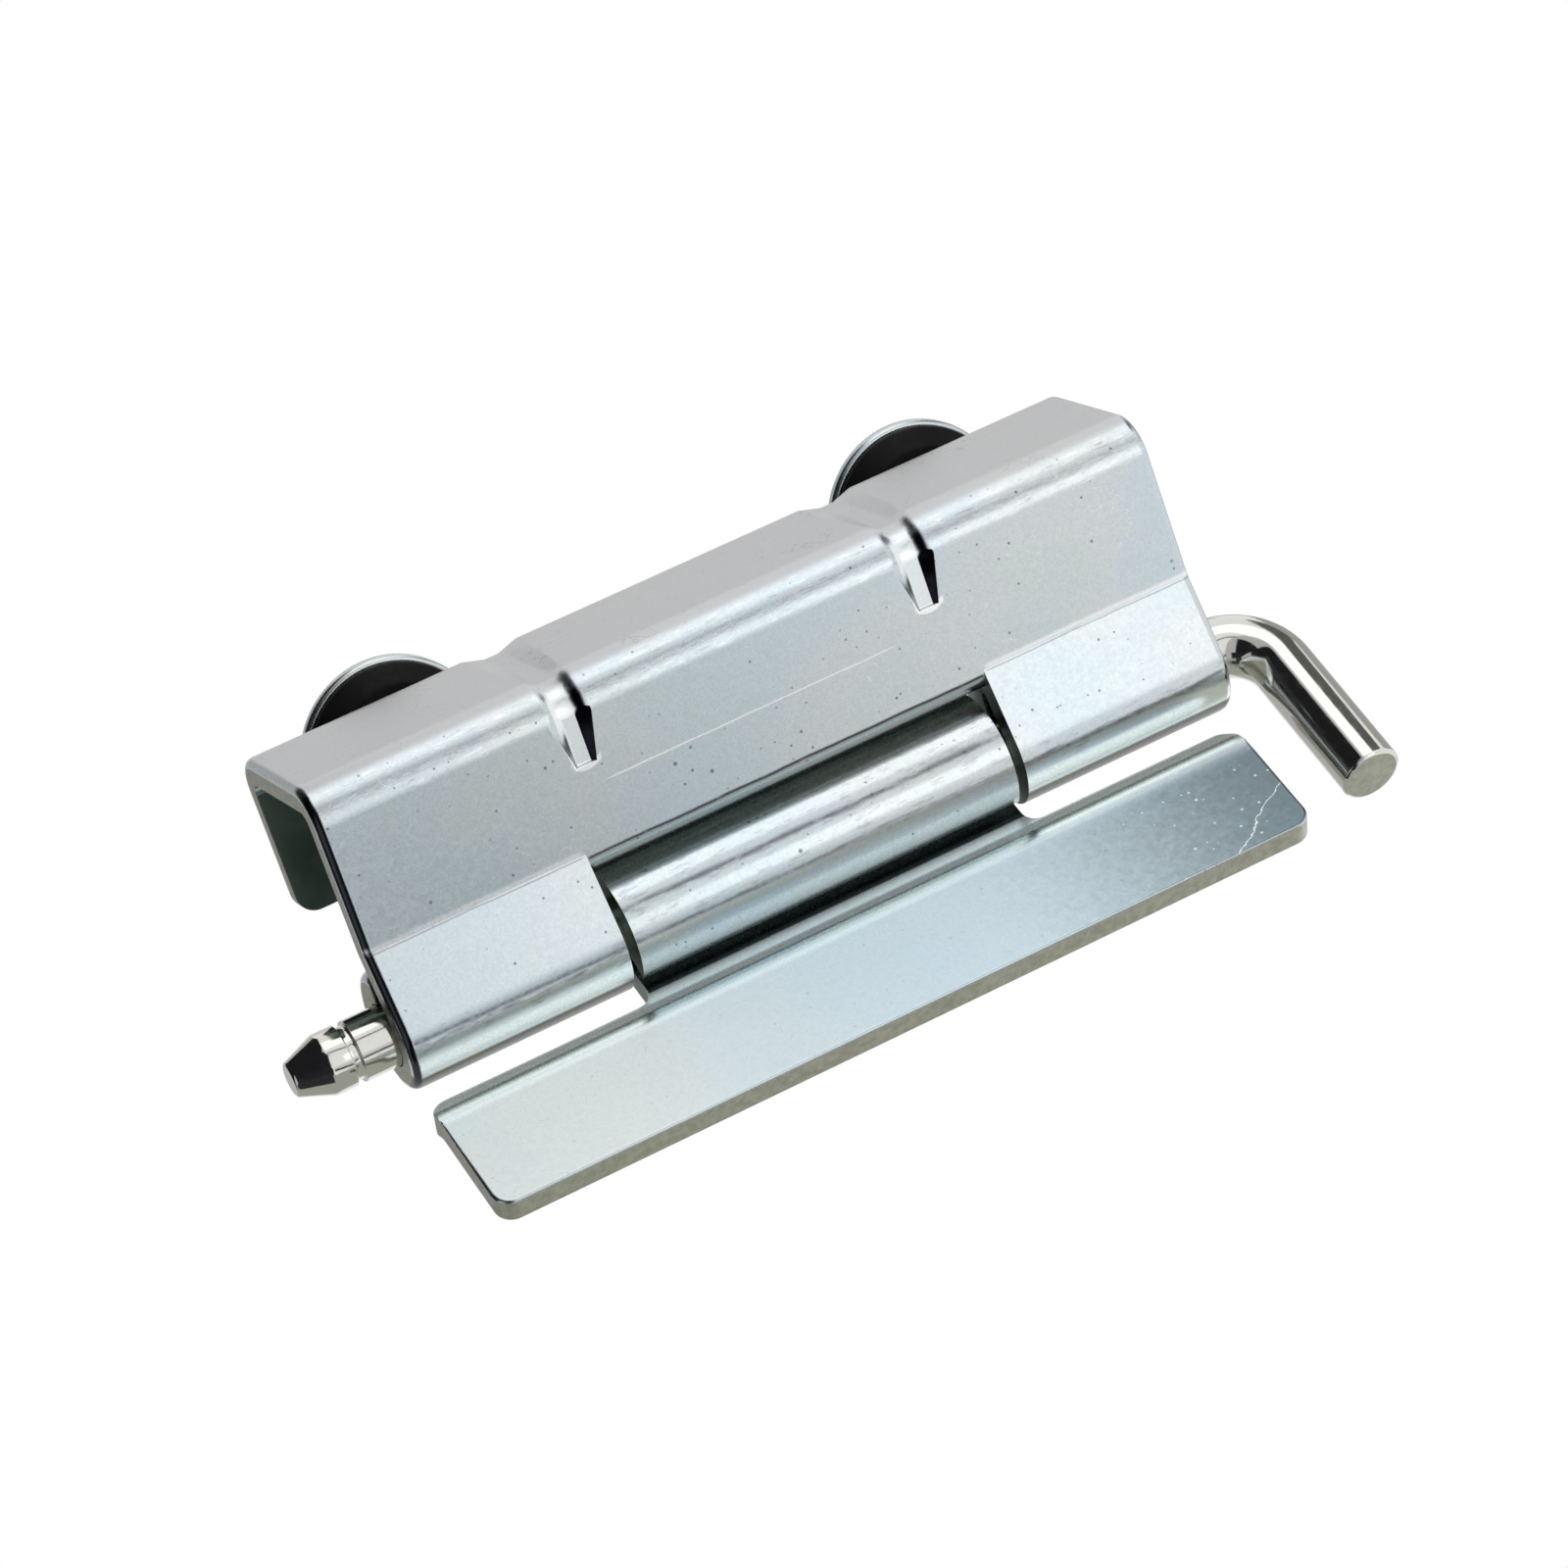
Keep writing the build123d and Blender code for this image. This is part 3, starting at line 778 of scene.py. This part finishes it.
def softened(corners):
    """Radius and height along a turned profile, with each inner corner cut off in a small curve."""
    flat = [Vector(corner[:2]) for corner in corners]
    points = [flat[0]]
    for before, corner, after, spec in zip(flat, flat[1:], flat[2:], corners[1:]):
        most = CORNER_SHARE * min((before - corner).length, (after - corner).length)
        reach = min(spec[2], most)
        first = corner + (before - corner).normalized() * reach
        last = corner + (after - corner).normalized() * reach
        for step in range(CORNER_PARTS + 1):
            t = step / CORNER_PARTS
            points.append(first * (1 - t) ** 2 + corner * 2 * t * (1 - t) + last * t ** 2)
    return points + [flat[-1]]


def skinned(shape, rings):
    """Faces between a row of rings, and over both ends. Returns the last ring's end face."""
    for upper, lower in zip(rings, rings[1:]):
        for step in range(len(upper)):
            after = (step + 1) % len(upper)
            shape.faces.new((upper[step], lower[step], lower[after], upper[after]))
    shape.faces.new(rings[0])
    return shape.faces.new(reversed(rings[-1]))


def bent_pin(name, node, materials):
    """The pin as one smooth turned and bent rod, with its cut end in the second material."""
    rows = [(Vector((0, 0, z)), Vector((1, 0, 0)), radius) for radius, z in softened(PIN_CORNERS)[1:]]
    for part in range(1, BEND_PARTS + 1):
        turn = pi / 2 * part / BEND_PARTS
        centre = Vector((HANDLE_BEND * (1 - cos(turn)), 0, HANDLE_Z - HANDLE_BEND * (1 - sin(turn))))
        rows.append((centre, Vector((cos(turn), 0, -sin(turn))), HANDLE_CORNERS[0][0]))
    for radius, x in softened(HANDLE_CORNERS)[1:-1]:
        rows.append((Vector((x, 0, HANDLE_Z)), Vector((0, 0, -1)), radius))
    shape = bmesh.new()
    side = Vector((0, 1, 0))
    angles = [2 * pi * step / PIN_STEPS for step in range(PIN_STEPS)]
    rings = []
    for centre, inward, radius in rows:
        places = [centre + (inward * cos(a) + side * sin(a)) * radius for a in angles]
        rings.append([shape.verts.new(place * MM) for place in places])
    skinned(shape, rings).material_index = CUT
    bmesh.ops.recalc_face_normals(shape, faces=shape.faces)
    turned = Matrix.Translation(hinge_line(0)) @ Matrix.Rotation(HANDLE_TURN, 4, "Z")
    bmesh.ops.transform(shape, matrix=turned, verts=shape.verts)
    return finished_piece(name, shape, node, "pin", materials)


def thread_radius(depth, angle):
    """Radius of the screw's thread at a depth below the head, with a pointed ridge and a tapered tip."""
    ridge = abs(2 * ((depth / THREAD_PITCH + angle / (2 * pi)) % 1.0) - 1)
    radius = THREAD_ROOT + (THREAD_CREST - THREAD_ROOT) * min(1.0, THREAD_FLANK * ridge)
    return min(radius, THREAD_TIP + (SCREW_LENGTH - depth) * (THREAD_CREST - THREAD_TIP) / THREAD_TAPER)


def threaded_screw(place, material):
    """A hexagon head over a shank with a real thread, in the place of the plain solid."""
    corner = SCREW_HEAD_FLAT / cos(pi / 6)
    shape = bmesh.new()
    upright = Matrix.Translation((0, 0, SCREW_HEAD_TALL / 2)) @ Matrix.Rotation(pi / 6, 4, "Z")
    bmesh.ops.create_cone(shape, cap_ends=True, segments=6, radius1=corner, radius2=corner,
                          depth=SCREW_HEAD_TALL, matrix=upright)
    top = [e for e in shape.edges if all(v.co.z > SCREW_HEAD_TALL * 0.9 for v in e.verts)]
    round_edges(shape, top, HEAD_CROWN, CROWN_PARTS)
    round_edges(shape, sharp_edges(shape), HEAD_EDGE, EDGE_PARTS)
    rings = []
    for row in range(THREAD_ROWS + 1):
        depth = SCREW_LENGTH * row / THREAD_ROWS
        ring = []
        for step in range(THREAD_STEPS):
            angle = 2 * pi * step / THREAD_STEPS
            radius = thread_radius(depth, angle)
            ring.append(shape.verts.new((radius * cos(angle), radius * sin(angle), -depth)))
        rings.append(ring)
    skinned(shape, rings)
    bmesh.ops.recalc_face_normals(shape, faces=shape.faces)
    turn = Matrix.Translation((0, SCREW_HEAD_Y, SCREW_PLACES[place])) @ Matrix.Rotation(-pi / 2, 4, "X")
    bmesh.ops.transform(shape, matrix=turn, verts=shape.verts)
    return finished_piece(place + "_threaded_screw", shape, place + "_screw", "bracket",
                          [material])


def make_camera():
    data = bpy.data.cameras.new("camera")
    data.sensor_width = SENSOR_WIDTH
    data.lens = LENS
    data.clip_start = NEAREST
    data.clip_end = FARTHEST
    camera = bpy.data.objects.new("camera", data)
    turn = Matrix((CAMERA_RIGHT, CAMERA_UP, CAMERA_BACK)).transposed()
    camera.matrix_world = Matrix.Translation(CAMERA_PLACE) @ turn.to_4x4()
    bpy.context.scene.collection.objects.link(camera)
    bpy.context.scene.camera = camera


def studio_world():
    """White to the camera, to reflections and through glass, and a plain ambient level for the rest."""
    world = bpy.data.worlds.new("studio")
    bpy.context.scene.world = world
    world.use_nodes = True
    tree = world.node_tree
    rays = tree.nodes.new("ShaderNodeLightPath")
    seen = rays.outputs["Is Camera Ray"]
    for ray in ("Is Glossy Ray", "Is Transmission Ray"):
        either = tree.nodes.new("ShaderNodeMath")
        either.operation = "MAXIMUM"
        tree.links.new(seen, either.inputs[0])
        tree.links.new(rays.outputs[ray], either.inputs[1])
        seen = either.outputs[0]
    level = tree.nodes.new("ShaderNodeMapRange")
    level.inputs["To Min"].default_value = AMBIENT
    level.inputs["To Max"].default_value = 1.0
    tree.links.new(seen, level.inputs["Value"])
    background = tree.nodes["Background"]
    background.inputs["Color"].default_value = WHITE
    tree.links.new(level.outputs["Result"], background.inputs["Strength"])


def in_view(right, up, back):
    """An offset given by the photograph's own right, up and towards the camera."""
    return CAMERA_RIGHT * right + CAMERA_UP * up + CAMERA_BACK * back


def flat_sheet(name, corners, material):
    """A single square of the stage, which isn't part of the object."""
    mesh = bpy.data.meshes.new(name)
    mesh.from_pydata(corners, [], [(0, 1, 2, 3)])
    mesh.materials.append(material)
    sheet = bpy.data.objects.new(name, mesh)
    bpy.context.scene.collection.objects.link(sheet)
    return sheet


def make_floor():
    reach = FLOOR_REACH
    corners = [(-reach, -reach, FLOOR_Z), (reach, -reach, FLOOR_Z), (reach, reach, FLOOR_Z),
               (-reach, reach, FLOOR_Z)]
    pale = Shader("pale_floor").finish(Base_Color=colour(0.86, 0.86, 0.86), Roughness=0.8)
    flat_sheet("floor", corners, pale)


def card(name, centre, across, upward, tone):
    """A plain card beside the hinge that shows only in reflections."""
    middle = cad_middle + in_view(*centre)
    a = in_view(*across)
    b = in_view(*upward)
    material = bpy.data.materials.new(name)
    material.use_nodes = True
    tree = material.node_tree
    glow = tree.nodes.new("ShaderNodeEmission")
    glow.inputs["Color"].default_value = colour(*tone)
    tree.links.new(glow.outputs[0], tree.nodes["Material Output"].inputs["Surface"])
    sheet = flat_sheet(name, [middle - a - b, middle + a - b, middle + a + b, middle - a + b], material)
    sheet.visible_camera = False
    sheet.visible_diffuse = False
    sheet.visible_shadow = False


def softbox(name, offset, width, radiance):
    """A square lamp that looks at the hinge."""
    data = bpy.data.lights.new(name, "AREA")
    data.shape = "RECTANGLE"
    data.size = width
    data.size_y = width
    data.energy = radiance * width * width * pi
    lamp = bpy.data.objects.new(name, data)
    away = in_view(*offset)
    turn = away.to_track_quat("Z", "Y").to_matrix().to_4x4()
    lamp.matrix_world = Matrix.Translation(cad_middle + away) @ turn
    bpy.context.scene.collection.objects.link(lamp)


cut = sheared_edge("sheared_edge_finish")
zinc = plain_zinc("zinc_finish")
black = rubber("rubber_finish")
shade_finish = painted_shade_recess("painted_shade_finish")
stamped_piece("bracket_sheet", "frame_bracket", "bracket", form_bracket, mark_bracket, bracket_outside,
              DIE_ROLL, [bracket_zinc("bracket_finish"), cut, shade_finish])
stamped_piece("leaf_sheet", "door_leaf", "leaf", swell_curl, mark_leaf, leaf_upper_side,
              LEAF_ROLL, [leaf_zinc("leaf_finish"), cut, shade_finish])
bent_pin("pin_rod", "hinge_pin", [nickel("nickel_finish"), cut])
for place in SCREW_PLACES:
    threaded_screw(place, zinc)
    rounded_piece(place + "_steel_disc", place + "_washer", "bracket", DISC_EDGE, zinc)
    rounded_piece(place + "_rubber_ring", place + "_seal", "bracket", RING_EDGE, black)

make_camera()
studio_world()
make_floor()
for name, row in SOFTBOXES.items():
    softbox(name, *row)
for name, row in CARDS.items():
    card(name, *row)
bpy.context.scene.view_settings.view_transform = "Standard"
